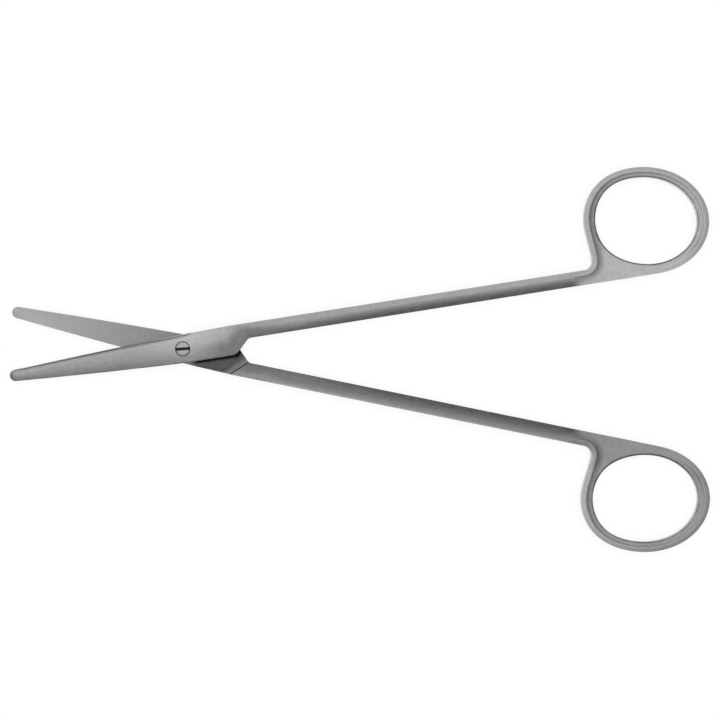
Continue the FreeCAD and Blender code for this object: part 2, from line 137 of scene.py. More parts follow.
# %% Rows of blade, joint and shank
ACROSS = np.array([0, .04, .09, .16, .26, .38, .46, .55, .64, .73, .82, .90, .96, 1])
CREST = 5
cells = len(ACROSS) - 1
straight = np.concatenate([
    TIP_START - TIP_HALF * np.sin(np.radians([84, 78, 70, 60, 48, 36, 24, 12])),
    np.linspace(TIP_START, -4, 17), np.linspace(-3, 11.5, 16), np.arange(11.9, 18, 0.3),
    np.linspace(18.2, 30, 13), np.linspace(33, 48, 6), np.linspace(55, 88, 6),
    np.linspace(90, elbow_x - 0.6, 14)])
rows = [((u, float(outer_line(u))), (u, float(inner_line(u)))) for u in straight]
print(len(rows), "rows up to the elbow")

# %% Rows of neck and ring
WEB_FOOT = 3.62
ELBOW_ROWS = 10
for angle in np.radians(np.linspace(-90, 0, ELBOW_ROWS)):
    ray = np.array([math.cos(angle), math.sin(angle)])
    centre = np.array([elbow_x, elbow_y])
    rows.append((centre + ray * NECK_FILLET, centre + ray * (NECK_FILLET + WEB_FOOT)))
first_web_row = len(rows) - ELBOW_ROWS

leftmost = math.pi + math.atan(RING_SHORT * math.sin(LEAN) / (RING_LONG * math.cos(LEAN)))
lowest = -math.atan(RING_SHORT * math.cos(LEAN) / (RING_LONG * math.sin(LEAN)))
hole = hole_point(np.radians(np.linspace(180, 270, 901)))
touch = np.argmin(np.abs(hole[:, 0] - (RING_LEFT + WEB_FOOT)))
touch_angle, touch_v = math.radians(180 + touch / 10), hole[touch, 1]
ring_left_v = float(ring_point(leftmost)[1])


def neck_line(v):
    """The outer side of the neck, which swings in from the ring to the elbow."""
    share = (v - elbow_y) / (ring_left_v - elbow_y)
    return RING_LEFT + NECK_IN * (1 - share * share * (3 - 2 * share))


for v in np.linspace(elbow_y, touch_v, cells + 2 - ELBOW_ROWS)[1:]:
    foot = RING_LEFT + WEB_FOOT + NECK_IN * (touch_v - v) / (touch_v - elbow_y)
    rows.append(((neck_line(v), v), (foot, v)))
last_web_row = len(rows) - 1
for share in np.linspace(0, 1, 6)[1:-1]:
    inner = hole_point(touch_angle + (leftmost - touch_angle) * share)
    v = touch_v + (ring_left_v - touch_v) * share
    rows.append(((neck_line(v), v), inner))
ring_angles = np.linspace(leftmost, lowest, 73)
for angle in ring_angles:
    rows.append((ring_point(angle), hole_point(angle)))
print(len(rows), "rows of", cells, "faces; the web meets the hole at", hole[touch].round(2))

# %% [markdown]
# ## The relief of the half
# From the side, the half is thick at joint and shoulder, falls to a slender
# shank, and its blade thins towards the tip. Across, each stretch has a crest.
# Outwards it hardly falls, which keeps the outer side light. Inwards it falls
# more, which gives the shanks their dark inner side. The relief could be
# sculpted, but then the two faces of a half wouldn't match, so it is a table
# of runs and slopes along the bar.


# %% Heights along the bar
def smooth(share):
    """Eases from 0 to 1."""
    share = np.clip(share, 0, 1)
    return share * share * (3 - 2 * share)


STATIONS = [TIP_END, -30, -15, -4, 1, 6, 9, 12, 14.5, 17, 21, 28, 40, 60, NECK_START]
OUTER_RUN = [0.9, 1.2, 1.5, 1.6, 1.4, 1.3, 1.2, 1.1, 1.0, 1.0, 0.9, 0.9, 0.9, 0.9, 0.9]
INNER_RUN = [1.9, 3.4, 4.8, 5.4, 5.5, 5.6, 6.0, 6.2, 5.6, 4.2, 3.4, 3.2, 3.2, 3.2, 3.1]
OUTER_SLOPE = [.12, .12, .12, .12, .12, .12, .12, .12, .12, .12, .12, .12, .13, .14, .14]
INNER_SLOPE = [.30, .28, .28, .28, .28, .28, .29, .30, .31, .33, .36, .40, .48, .54, .55]
EVENNESS = [0, 0, 0, .1, .2, .5, 1, 1, 1, .7, .3, 0, 0, 0, 0]
JOINT_TOP, TIP_TOP, SHANK_TOP = 2.25, 0.95, 1.6
FALL_START, FALL_RUN = 11, 14


def along(u, values):
    """A value of the tables at u, with the corners of the table smoothed."""
    return sum(np.interp(u + shift, STATIONS, values) for shift in np.linspace(-2, 2, 9)) / 9


def top_height(u):
    blade = JOINT_TOP + (JOINT_TOP - TIP_TOP) * np.minimum(u, 0) / -TIP_START
    fall = smooth((u - FALL_START) / FALL_RUN)
    return np.where(u < FALL_START, blade, JOINT_TOP - (JOINT_TOP - SHANK_TOP) * fall)


print("height at tip, joint, shoulder and shank:",
      top_height(np.array([-42, 5, 17, 60])).round(2))


# %% Height of a point of the bar
def to_curve(points, curve):
    """Shortest distance of each point from a curve given as many points."""
    return np.sqrt(((points[:, None, :] - curve[None, :, :]) ** 2).sum(-1)).min(1)


CURVED_UP_TO = 23
reach = np.concatenate([TIP_START - TIP_HALF * np.sin(np.linspace(math.pi / 2, 0, 60)),
                        np.linspace(TIP_START, CURVED_UP_TO + 1, 900)])
outer_curve = np.stack([reach, outer_line(reach)], axis=-1)
inner_curve = np.stack([reach, inner_line(reach)], axis=-1)


def bar_height(points):
    """Height of blade, joint and shank over the flat inner face."""
    u, v = points[:, 0], points[:, 1]
    near = u < CURVED_UP_TO
    from_outer = outer_line(u) - v
    from_inner = v - inner_line(u)
    from_outer[near] = to_curve(points[near], outer_curve)
    from_inner[near] = to_curve(points[near], inner_curve)
    outer_run, inner_run = along(u, OUTER_RUN), along(u, INNER_RUN)
    share = np.clip(1 - from_outer / outer_run, 0, 1)
    outer_fall = along(u, OUTER_SLOPE) * outer_run / 2 * share ** 2
    share, even = np.clip(1 - from_inner / inner_run, 0, 1), along(u, EVENNESS)
    ramp = np.where(share < 0.5, share ** 2, share - 0.25)
    inner_fall = along(u, INNER_SLOPE) * inner_run * ((1 - even) * share ** 2 / 2 + even * ramp)
    return top_height(u) - outer_fall - inner_fall


# %% Height of ring, neck and web
CREST_IN, SLOPE_RUN, LIP_SHARE = 1.2, 2.0, 0.15
RIM_TOP, WEB_TOP, LIP_DROP, FAR_LIFT = 1.48, 1.09, 0.04, 0.05


def rim_height(depth):
    """Height by the depth from the outline: a gentle fall outwards, and inwards
    a small lip and a hollow slope down to the web."""
    outside = 0.10 * np.clip(1 - depth / CREST_IN, 0, 1) ** 1.3
    share = np.clip((depth - CREST_IN) / SLOPE_RUN, 0, 1)
    lip = LIP_DROP * smooth(share / LIP_SHARE)
    hollow = (RIM_TOP - WEB_TOP - LIP_DROP) * (1 - (1 - share) ** 1.65)
    return RIM_TOP - outside - lip - hollow


print("rim heights inwards:", rim_height(np.array([0, 0.6, 1.3, 1.6, 2.2, 2.8])).round(2))

# %% [markdown]
# ## Points of the skin
# Outline and relief meet here: each row gets its points, and each point its
# height. On the blade, the second and third points make the narrow bevel that
# runs along the cutting edge. The last cell makes the chamfer of the finger
# hole, which is full along the web and slight round the rest of the ring. The
# pattern of a point is its way along the bar and its depth from the outer side,
# because the brushing on the real steel follows the bar round the ring.

# %% The bar as a grid of points
BEVEL_FROM, BEVEL_TO, BEVEL_EASE = TIP_START + 0.4, 1.6, 2.0
BEVEL_LEAN, BEVEL_WIDTH, BEVEL_FALL, EDGE_HEIGHT = 0.04, 0.42, 0.23, 0.05
HOLE_CHAMFER, CHAMFER_FALL, LEAST_CHAMFER = 0.45, 0.18, 0.1
CREST_FROM, CREST_OVER, RIM_FROM = 85, 15, 98
FAR_FROM, FAR_OVER = math.radians(175), math.radians(60)
FADE_FROM, FADE_OVER = math.radians(-28), math.radians(44)
points, heights, patterns = [], [], []
travel = 0.0
for number, (outer, inner) in enumerate(rows):
    outer, inner = np.array(outer, float), np.array(inner, float)
    width = np.linalg.norm(inner - outer)
    on_bar = number < first_web_row
    crest = CREST_IN
    if on_bar:
        bar_crest = ACROSS[CREST] * width
        crest = bar_crest + (CREST_IN - bar_crest) * smooth((outer[0] - CREST_FROM) / CREST_OVER)
    depth = np.interp(ACROSS, [0, ACROSS[CREST], 1], [0, crest, width])
    bevel = float(smooth((outer[0] - BEVEL_FROM) / BEVEL_EASE)
                  * smooth((BEVEL_TO - outer[0]) / BEVEL_EASE)) if on_bar else 0.0
    if number >= last_web_row:
        depth[CREST:-1] = np.linspace(crest, width - HOLE_CHAMFER, cells - CREST)
    depth[1] += (BEVEL_LEAN - depth[1]) * bevel
    depth[2] += (BEVEL_WIDTH - depth[2]) * bevel
    line = outer + (inner - outer) * (depth / width)[:, None]
    height = rim_height(depth)
    if on_bar:
        bar = bar_height(line)
        height = bar + (height - bar) * smooth((outer[0] - RIM_FROM) / (elbow_x - RIM_FROM))
        height[1] -= BEVEL_FALL * bevel
        height[0] += (EDGE_HEIGHT - height[0]) * bevel
    ring_row = number - (len(rows) - len(ring_angles))
    if ring_row >= 0:
        far = float(smooth((FAR_FROM - ring_angles[ring_row]) / FAR_OVER))
        height = height + FAR_LIFT * far * np.clip((depth - CREST_IN) / (width - CREST_IN), 0, 1)
        fade = float(smooth((FADE_FROM - ring_angles[ring_row]) / FADE_OVER))
        height = height + (WEB_TOP - height) * fade
    elif number >= last_web_row:
        fade = 1 - (number - last_web_row) / (len(rows) - len(ring_angles) - last_web_row)
    else:
        fade = 0.0
    if number >= last_web_row:
        height[-1] -= CHAMFER_FALL * (LEAST_CHAMFER + (1 - LEAST_CHAMFER) * fade)
    if points:
        travel += np.linalg.norm(line[CREST] - points[-1][CREST])
    points.append(line)
    heights.append(height)
    patterns.append([(travel, -x) for x in depth])
points, heights, patterns = np.array(points), np.array(heights), np.array(patterns)
print("length of the bar along its crest", round(travel, 1), "mm")

# %% The web as a grid of points
WEB_CELLS = 18
inner_side = points[first_web_row:last_web_row + 1, -1]
ring_end = points[-1]
low_start, low_end = inner_side[0], ring_end[0]
hole_side = hole_point(np.linspace(touch_angle, lowest + 2 * math.pi, WEB_CELLS + 1))
web = np.zeros((WEB_CELLS + 1, cells + 1, 2))
for i in range(WEB_CELLS + 1):
    s = i / WEB_CELLS
    for j in range(cells + 1):
        t = j / cells
        web[i, j] = ((1 - s) * inner_side[j] + s * ring_end[j]
                     + (1 - t) * (low_start + (low_end - low_start) * s) + t * hole_side[i]
                     - (1 - s) * (1 - t) * low_start - s * (1 - t) * low_end
                     - (1 - s) * t * hole_side[0] - s * t * hole_side[-1])
# The columns next to the hole are spaced anew, so that its chamfer is even
for i in range(1, WEB_CELLS):
    inwards = web[i, -5] - hole_side[i]
    start = HOLE_CHAMFER / np.linalg.norm(inwards)
    for j, share in ((-2, 0), (-3, 1 / 3), (-4, 2 / 3)):
        web[i, j] = hole_side[i] + inwards * (start + (1 - start) * share)
web_heights = np.full(web.shape[:2], WEB_TOP)
web_heights[:, -1] -= CHAMFER_FALL
web_heights[0] = heights[first_web_row:last_web_row + 1, -1]
web_heights[-1] = heights[-1]
print("web patch of", WEB_CELLS, "by", cells, "faces")

# %% [markdown]
# ## Tools on the bench
# Blender's operators act on whatever is selected, and a freshly loaded frame
# is selected. A few small helpers therefore clear the selection first, take
# one piece in hand, and pick its faces or edges by their place.


# %% Helpers for picking
def select_none():
    if bpy.context.object and bpy.context.object.mode != "OBJECT":
        bpy.ops.object.mode_set(mode="OBJECT")
    bpy.ops.object.select_all(action="DESELECT")


def take(piece):
    """Makes one piece the only selected and active one."""
    select_none()
    piece.select_set(True)
    bpy.context.view_layer.objects.active = piece


def pick(piece, mode, choose):
    """Enters edit mode with just those items selected that choose says."""
    take(piece)
    mesh = piece.data
    for group in (mesh.polygons, mesh.edges, mesh.vertices):
        group.foreach_set("select", [False] * len(group))
    items = {"VERT": mesh.vertices, "EDGE": mesh.edges, "FACE": mesh.polygons}[mode]
    chosen = [bool(choose(item)) for item in items]
    items.foreach_set("select", chosen)
    if mode != "VERT":
        for item, wanted in zip(items, chosen):
            if wanted:
                for index in item.vertices:
                    mesh.vertices[index].select = True
    bpy.ops.object.mode_set(mode="EDIT")
    bpy.context.tool_settings.mesh_select_mode = (mode == "VERT", mode == "EDGE", mode == "FACE")
    return sum(chosen)


def out_of_edit():
    bpy.ops.object.mode_set(mode="OBJECT")


def ends_of(piece, edge):
    """Both ends of an edge in millimetres."""
    return [piece.data.vertices[index].co / MM for index in edge.vertices]


# %% Helpers for pieces
def sheet_of(name, points, heights, patterns):
    """A grid primitive whose rows are laid on the points."""
    rows, columns = heights.shape
    select_none()
    bpy.ops.mesh.primitive_grid_add(x_subdivisions=columns - 1, y_subdivisions=rows - 1, size=1)
    piece = bpy.context.object
    piece.name = name
    mesh = piece.data
    start = np.array([vertex.co for vertex in mesh.vertices])
    order = np.lexsort((start[:, 0].round(5), start[:, 1].round(5)))
    place = np.empty(len(order), int)
    place[order] = np.arange(len(order))
    laid = np.dstack([points, heights]).reshape(-1, 3) * MM
    mesh.vertices.foreach_set("co", laid[place].ravel())
    flat = np.asarray(patterns).reshape(-1, 2)[place]
    corner = np.array([loop.vertex_index for loop in mesh.loops])
    mesh.uv_layers.active.data.foreach_set("uv", flat[corner].ravel())
    mesh.update()
    return piece


def cut(piece, tool):
    """Takes the tool's shape out of the piece and the tool out of the scene."""
    take(piece)
    bpy.ops.object.modifier_add(type="BOOLEAN")
    modifier = piece.modifiers[-1]
    modifier.operation = "DIFFERENCE"
    modifier.solver = "EXACT"
    modifier.object = tool
    bpy.ops.object.modifier_apply(modifier=modifier.name)
    bpy.data.objects.remove(tool)


def measure(piece):
    """Prints whether the skin is closed, and what it holds."""
    shell = bmesh.new()
    shell.from_mesh(piece.data)
    open_edges = sum(not edge.is_manifold for edge in shell.edges)
    print(piece.name, len(shell.faces), "faces, open edges", open_edges,
          "volume", round(shell.calc_volume() / MM ** 3, 1), "mm3")
    shell.free()


# %% [markdown]
# ## The blank
# The skin could be lofted from curves, but two grid primitives laid on the
# points keep their quads in rows, which gives a clean reflection along the
# shank. They are joined at the neck, their border is extruded down to the
# middle plane, and the doubled copy on the other side closes the blank. The
# borders are rounded as a polishing wheel leaves them: most at the finger hole
# and the joint, hardly on the rest of the outline, and not at all along the
# cutting edge. The weights say how much of the widest rounding a border gets.

# %% The top skin
blank = sheet_of("half_blank", points, heights, patterns)
web_skin = sheet_of("web_skin", web, web_heights, web)
take(blank)
web_skin.select_set(True)
bpy.ops.object.join()
pick(blank, "VERT", lambda vertex: True)
bpy.ops.mesh.remove_doubles(threshold=0.004 * MM)
bpy.ops.mesh.normals_make_consistent(inside=False)
out_of_edit()
if sum(face.normal.z * face.area for face in blank.data.polygons) < 0:
    pick(blank, "VERT", lambda vertex: True)
    bpy.ops.mesh.flip_normals()
    out_of_edit()
print("top skin:", len(blank.data.polygons), "faces")

# %% Walls
pick(blank, "VERT", lambda vertex: False)
bpy.ops.mesh.select_non_manifold(extend=False, use_wire=False, use_boundary=True,
                                 use_multi_face=False, use_non_contiguous=False, use_verts=False)
out_of_edit()
border = {tuple(sorted(edge.vertices)) for edge in blank.data.edges if edge.select}
bpy.ops.object.mode_set(mode="EDIT")
bpy.ops.mesh.extrude_edges_move()
bpy.ops.transform.resize(value=(1, 1, 0), center_override=(0, 0, 0))
out_of_edit()
print("border edges:", len(border))


# %% Rounded borders
WIDEST, AT_TIP, AT_JOINT, AT_BACK, ELSEWHERE = 0.26, 0.18, 0.20, 0.12, 0.08
HOLE_REACH, JOINT_FROM, JOINT_TO = 1.09, -2, 19


def rounding(middle):
    """How far the polishing wheel rounds the outline at a place, in millimetres."""
    x, y = middle.x - RING_X, middle.y - RING_Y
    along_axis = x * math.cos(LEAN) - y * math.sin(LEAN)
    across_axis = x * math.sin(LEAN) + y * math.cos(LEAN)
    if math.hypot(along_axis / HOLE_LONG, across_axis / HOLE_SHORT) < HOLE_REACH:
        return WIDEST
    if middle.x < BEVEL_FROM + BEVEL_EASE / 2:
        return AT_TIP
    if middle.x < BEVEL_TO and middle.y > 0:
        return 0.0
    if middle.x < JOINT_TO and middle.y < 1:
        return AT_JOINT if middle.x > JOINT_FROM else AT_BACK
    return ELSEWHERE


weights = np.zeros(len(blank.data.edges), np.float32)
for number, edge in enumerate(blank.data.edges):
    if tuple(sorted(edge.vertices)) in border:
        first, last = ends_of(blank, edge)
        weights[number] = rounding((first + last) / 2) / WIDEST
marks = blank.data.attributes.new("bevel_weight_edge", "FLOAT", "EDGE")
marks.data.foreach_set("value", weights)
take(blank)
bpy.ops.object.modifier_add(type="BEVEL")
polish = blank.modifiers[-1]
polish.limit_method = "WEIGHT"
polish.width = WIDEST * MM
polish.segments = 3
bpy.ops.object.modifier_apply(modifier=polish.name)
print("rounded edges:", int((weights > 0).sum()))

# %% The other face
pick(blank, "VERT", lambda vertex: True)
bpy.ops.mesh.duplicate()
bpy.ops.transform.resize(value=(1, 1, -1), center_override=(0, 0, 0))
bpy.ops.mesh.select_all(action="SELECT")
bpy.ops.mesh.remove_doubles(threshold=0.002 * MM)
bpy.ops.mesh.normals_make_consistent(inside=False)
out_of_edit()
measure(blank)

# %% [markdown]
# ## The lap
# In the lap joint each half gives up half of its thickness, so that the two
# lie flush. The milling cutter that takes it away leaves a flat inner face
# along blade and joint, and stops at a slanted shoulder. Here a box with a
# slanted end is that cutter. A thin box along its end cuts the relief groove
# at the foot of the shoulder, whose faces are painted dark as shade so that it
# shows as a fine dark line, and the top edge of the shoulder is broken by a
# small bevel. The faces of each tool carry its finish: the lap cutter the
# ground flat, the groove cutter the painted shade.

# %% Milling tools
# The third finish is painted shade, for the groove, the bores and the seat.
FINISHES = ["forged_satin", "ground_flat", "painted_shade_seat"]
finishes = [bpy.data.materials.new(name) for name in FINISHES]
GROUND, PAINTED_SHADE = 1, 2


def give_finishes(piece, chosen=0):
    piece.data.materials.clear()
    for finish in finishes:
        piece.data.materials.append(finish)
    piece.data.polygons.foreach_set("material_index", [chosen] * len(piece.data.polygons))


def slanted_box(name, first, last, low, high, chosen):
    """Box whose ends slant like the shoulder and meet the centre line at first and last."""
    wide = 12
    select_none()
    bpy.ops.mesh.primitive_cube_add(size=2, location=(0, 0, (low + high) / 2 * MM),
                                    scale=(MM, wide * MM, (high - low) / 2 * MM))
    box = bpy.context.object
    box.name = name
    bpy.ops.object.transform_apply(location=True, rotation=True, scale=True)
    for end, place in ((1, last), (-1, first)):
        for side in (-1, 1):
            pick(box, "VERT", lambda vertex: vertex.co.x * end > 0 and vertex.co.y * side > 0)
            bpy.ops.transform.translate(value=((place - end - side * wide) * MM, 0, 0))
            out_of_edit()
    give_finishes(box, chosen)
    return box


# %% Cutting the lap
GROOVE_WIDTH, GROOVE_DEPTH = 0.28, 0.2
give_finishes(blank)
cut(blank, slanted_box("lap_cutter", -70, SHOULDER, -5, 0, GROUND))
groove_start = SHOULDER - GROOVE_WIDTH * math.sqrt(2)
# The groove's faces get the painted shade finish, which draws a fine dark line.
cut(blank, slanted_box("groove_cutter", groove_start, SHOULDER, -1, GROOVE_DEPTH, PAINTED_SHADE))
measure(blank)


# %% Broken edges of shoulder and tip
def on_shoulder_top(edge):
    return all(abs(end.x + end.y - SHOULDER) < 0.01 and end.z < -1
               for end in ends_of(blank, edge))


def soften(piece, radius, segments, choose):
    chosen = pick(piece, "EDGE", choose)
    bpy.ops.mesh.bevel(offset=radius * MM, segments=segments, profile=0.5, affect="EDGES",
                       clamp_overlap=True)
    out_of_edit()
    print("broke", chosen, "edges by", radius, "mm")


soften(blank, 0.12, 2, on_shoulder_top)
pick(blank, "FACE", lambda face: face.normal.z < -0.99 and abs(face.center.z) < 0.001 * MM)
bpy.ops.mesh.region_to_loop()
out_of_edit()
flat_border = {tuple(sorted(edge.vertices)) for edge in blank.data.edges if edge.select}
soften(blank, 0.22, 3, lambda edge: tuple(sorted(edge.vertices)) in flat_border and all(
    end.x < TIP_START + 0.05 for end in ends_of(blank, edge)))
measure(blank)

# %% A second pattern
plan = blank.data.uv_layers.new(name="plan")
corner = np.array([loop.vertex_index for loop in blank.data.loops])
spots = np.array([vertex.co for vertex in blank.data.vertices])[:, :2] / MM
plan.data.foreach_set("uv", spots[corner].ravel())
print("plan pattern from", spots.min(0).round(1), "to", spots.max(0).round(1))

# %% [markdown]
# ## Two halves from one
# Both halves of these scissors come from the same die: one is the other turned
# over. So the blank is copied twice, each with a mesh of its own, turned to its
# place in the frame, and bored for the screw. The upper half gets the wide
# seat for the screw's head. A real pair is ground and bent by hand until it
# closes well, so its halves are never quite equal. Here one ring ends a little
# short and the other a little long, and the lower blade is set over towards
# its tip. Each copy gets those shifts as a short list of places and amounts.
#
# The two were also polished one after the other, which shows as stretches that
# are a little brighter or duller. Part of that brightness is painted light and
# shade: the lower half is painted duller, as shade, the upper joint lighter, as a
# painted highlight, and both edges of the lower shank brighter, as painted sheen.
# A point attribute holds that brightness, for the finish to read.

# %% Bores
JOINT_THICK, LAP_GAP = 2.25, 0.02
UPPER_FLOOR = JOINT_THICK + LAP_GAP
TOTAL = UPPER_FLOOR + JOINT_THICK
HEAD_HEIGHT, SEAT_ROOM = 0.9, 0.04
UPPER_BORE, HEAD_SEAT, LOWER_BORE = 1.37, 1.88, 1.11
seat_floor = TOTAL - HEAD_HEIGHT - SEAT_ROOM


def bore(piece, radius, low, high):
    select_none()
    bpy.ops.mesh.primitive_cylinder_add(vertices=96, radius=radius * MM, depth=(high - low) * MM,
                                        location=(0, 0, (low + high) / 2 * MM))
    drill = bpy.context.object
    # The bore's faces get the painted shade finish.
    give_finishes(drill, PAINTED_SHADE)
    cut(piece, drill)


# %% Copies in their places
HALF_OPENING = math.radians(10.25)


def copy_half(name, longer, aside, place, turn):
    """Copies the blank; longer and aside say by how much its points shift along
    and across the bar, each as places along the bar and shifts there."""
    piece = blank.copy()
    piece.data = blank.data.copy()
    piece.name = piece.data.name = name
    bpy.context.collection.objects.link(piece)
    spots = np.array([vertex.co for vertex in piece.data.vertices]) / MM
    u = spots[:, 0].copy()
    spots[:, 0] += np.interp(u, *longer)
    spots[:, 1] += np.interp(u, *aside)
    piece.data.vertices.foreach_set("co", (spots * MM).ravel())
    take(piece)
    piece.location, piece.rotation_euler = place, turn
    bpy.ops.object.transform_apply(location=True, rotation=True, scale=True)
    return piece


upper = copy_half("upper_forging", ([60, 104, 135], [0, -0.23, -0.65]), ([0, 1], [0, 0]),
                  (0, 0, UPPER_FLOOR * MM), (0, 0, HALF_OPENING))
bore(upper, UPPER_BORE, 1, 5)
bore(upper, HEAD_SEAT, seat_floor, 6)
lower = copy_half("lower_forging", ([8, 14, 104, 135], [0, 0.15, 0.63, 1.1]),
                  ([-44, 4], [-0.68, 0]),
                  (0, 0, JOINT_THICK * MM), (math.pi, 0, -HALF_OPENING))
bore(lower, LOWER_BORE, -1, 3)
bpy.data.objects.remove(blank)

# %% Polish and painted light
# Places along the bar with their brightness, from polish and painted light, and the same round
# the ring
POLISH_AND_PAINTED_LIGHT = {
    "upper": ([-44, -12, -5, 2, 8, 14, 22, 60, 95, 103, 110, 122, 131],
              [.96, .97, 1.12, 1.26, 1.18, 1.02, .96, 1.0, 1.06, 1.1, 1.28, 1.22, 1.08],
              [100, 131], [1.1, 1.1]),
    "lower": ([14, 20, 26, 60, 98, 103, 108, 112, 131],
              [.76, .74, .68, .66, .66, .67, .78, .8, .8],
              [100, 107, 115, 126, 131], [1.2, 1.12, 1.0, .85, .85])}
# Painted sheen: across the lower shank, both edges are painted brighter.
PAINTED_SHEEN_ACROSS_SHANK = {
    "upper": ([0, 4], [1, 1]),
    "lower": ([.2, 1.2, 2.0, 2.6, 3.2, 3.7], [1.5, 1.05, .8, .78, 1.05, 1.5])}


def paint_polish_and_light(piece, body, side):
    """Writes how bright the steel is painted, polish and painted light together, along the bar
    and, past the web, along the ring.
    """
    bar_places, bar_values, ring_places, ring_values = POLISH_AND_PAINTED_LIGHT[body]
    spots = np.array([vertex.co for vertex in piece.data.vertices]) / MM
    x, y = spots[:, 0], spots[:, 1] * side
    u = x * math.cos(HALF_OPENING) + y * math.sin(HALF_OPENING)
    v = y * math.cos(HALF_OPENING) - x * math.sin(HALF_OPENING)
    on_bar = np.interp(u, bar_places, bar_values)
    on_ring = np.interp(u, ring_places, ring_values)
    past_web = np.maximum(smooth((v - 6) / 5), smooth((v - 4) / 2) * smooth((107 - u) / 2))
    value = on_bar + (on_ring - on_bar) * past_web * (u > 90)
    on_shank = smooth((u - 19) / 8) * smooth((101 - u) / 6)
    value *= 1 + (np.interp(v, *PAINTED_SHEEN_ACROSS_SHANK[body]) - 1) * on_shank
    layer = piece.data.attributes.new("polish", "FLOAT", "POINT")
    layer.data.foreach_set("value", value.astype(np.float32))
    print(piece.name, "polish", value.min().round(2), "to", value.max().round(2))


paint_polish_and_light(upper, "upper", 1)
paint_polish_and_light(lower, "lower", -1)

# %% The halves ride on their bodies
SMOOTH_UP_TO = math.radians(58)
for piece, body in ((upper, "upper"), (lower, "lower")):
    take(piece)
    bpy.ops.object.shade_smooth_by_angle(angle=SMOOTH_UP_TO)
    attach(piece, body)
    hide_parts(f"{body}_half")
    measure(piece)

# %% [markdown]
# ## The screw
# The pivot is a turned screw: a flat slotted head sunk flush into the upper
# half, a plain stretch that this half turns on, and a threaded stretch that
# ends flush with the table side. A lathe would turn its profile in one go, and
# spin could do that here too. Insetting and extruding the end of a cylinder
# gives the same steps and leaves round faces to work on. The slot is milled
# last, a little less deep than wide, with a finish of its own that paints its bottom dark as
# shade.

# %% Head and shaft
HEAD_RADIUS, BEARING_RADIUS, THREAD_RADIUS = 1.71, 1.34, 1.10
select_none()
bpy.ops.mesh.primitive_cylinder_add(
    vertices=96, radius=HEAD_RADIUS * MM, depth=HEAD_HEIGHT * MM,
    location=(0, 0, (TOTAL - HEAD_HEIGHT / 2) * MM))
screw = bpy.context.object
screw.name = screw.data.name = "slotted_screw"
bpy.ops.object.transform_apply(location=True, rotation=True, scale=True)


def end_face(face):
    lowest_place = min(vertex.co.z for vertex in screw.data.vertices)
    return face.normal.z < -0.99 and abs(face.center.z - lowest_place) < 0.001 * MM


def step_down(narrower, length):
    pick(screw, "FACE", end_face)
    bpy.ops.mesh.inset(thickness=narrower * MM, depth=0)
    bpy.ops.mesh.extrude_region_move(TRANSFORM_OT_translate={"value": (0, 0, -length * MM)})
    out_of_edit()


step_down(HEAD_RADIUS - BEARING_RADIUS, TOTAL - HEAD_HEIGHT - JOINT_THICK)
step_down(BEARING_RADIUS - THREAD_RADIUS, JOINT_THICK - 0.01)
print("screw from", min(vertex.co.z for vertex in screw.data.vertices) / MM, "mm up")

# %% Broken rims and a dimple in the end
soften(screw, 0.07, 2, lambda edge: all(end.z > TOTAL - 0.01 for end in ends_of(screw, edge)))
soften(screw, 0.10, 2, lambda edge: all(end.z < 0.02 for end in ends_of(screw, edge)))
pick(screw, "FACE", end_face)
bpy.ops.mesh.inset(thickness=0.55 * MM, depth=0)
bpy.ops.transform.translate(value=(0, 0, 0.12 * MM))
out_of_edit()

# %% The slot
SLOT_WIDTH, SLOT_DEPTH, SLOT_TURN = 0.74, 0.62, math.radians(5.3)
# The slot's faces get a finish painted nearly black as shade.
turned, milled = bpy.data.materials.new("turned_steel"), bpy.data.materials.new("painted_shade_slot")
screw.data.materials.append(turned)
screw.data.materials.append(milled)
select_none()
bpy.ops.mesh.primitive_cube_add(size=1, location=(0, 0, TOTAL * MM), rotation=(0, 0, SLOT_TURN),
                                scale=(5 * MM, SLOT_WIDTH * MM, SLOT_DEPTH * 2 * MM))
saw = bpy.context.object
saw.name = "slitting_saw"
bpy.ops.object.transform_apply(location=True, rotation=True, scale=True)
saw.data.materials.append(turned)
saw.data.materials.append(milled)
saw.data.polygons.foreach_set("material_index", [1] * len(saw.data.polygons))
cut(screw, saw)
take(screw)
bpy.ops.object.shade_smooth_by_angle(angle=math.radians(30))
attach(screw, "lower")
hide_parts("pivot_screw")
measure(screw)

# %% [markdown]
# ## Shader sums
# Every finish below is a handful of noises added up. Written as nodes, such
# sums are hard to read, so one small class stands for a wire between nodes and
# turns + - * into Math nodes. Another one makes any other node in one call.


# %% Wire and Finish
class Wire:
    """A number that changes over the surface. Sums on it add Math nodes."""
    def __init__(self, finish, socket):
        self.finish, self.socket = finish, socket

    def sum(self, operation, first, second, clamp=False):
        settings = {"operation": operation, "use_clamp": clamp}
        return self.finish.node("ShaderNodeMath", settings, {0: first, 1: second})

    def __add__(self, other):
        return self.sum("ADD", self, other)

    def __radd__(self, other):
        return self.sum("ADD", other, self)

    def __sub__(self, other):
        return self.sum("SUBTRACT", self, other)

    def __rsub__(self, other):
        return self.sum("SUBTRACT", other, self)

    def __mul__(self, other):
        return self.sum("MULTIPLY", self, other)

    def __rmul__(self, other):
        return self.sum("MULTIPLY", other, self)

    def __abs__(self):
        return self.sum("ABSOLUTE", self, 0)

    def largest(self, other):
        return self.sum("MAXIMUM", self, other)

    def clamped(self):
        return self.sum("ADD", self, 0, True)


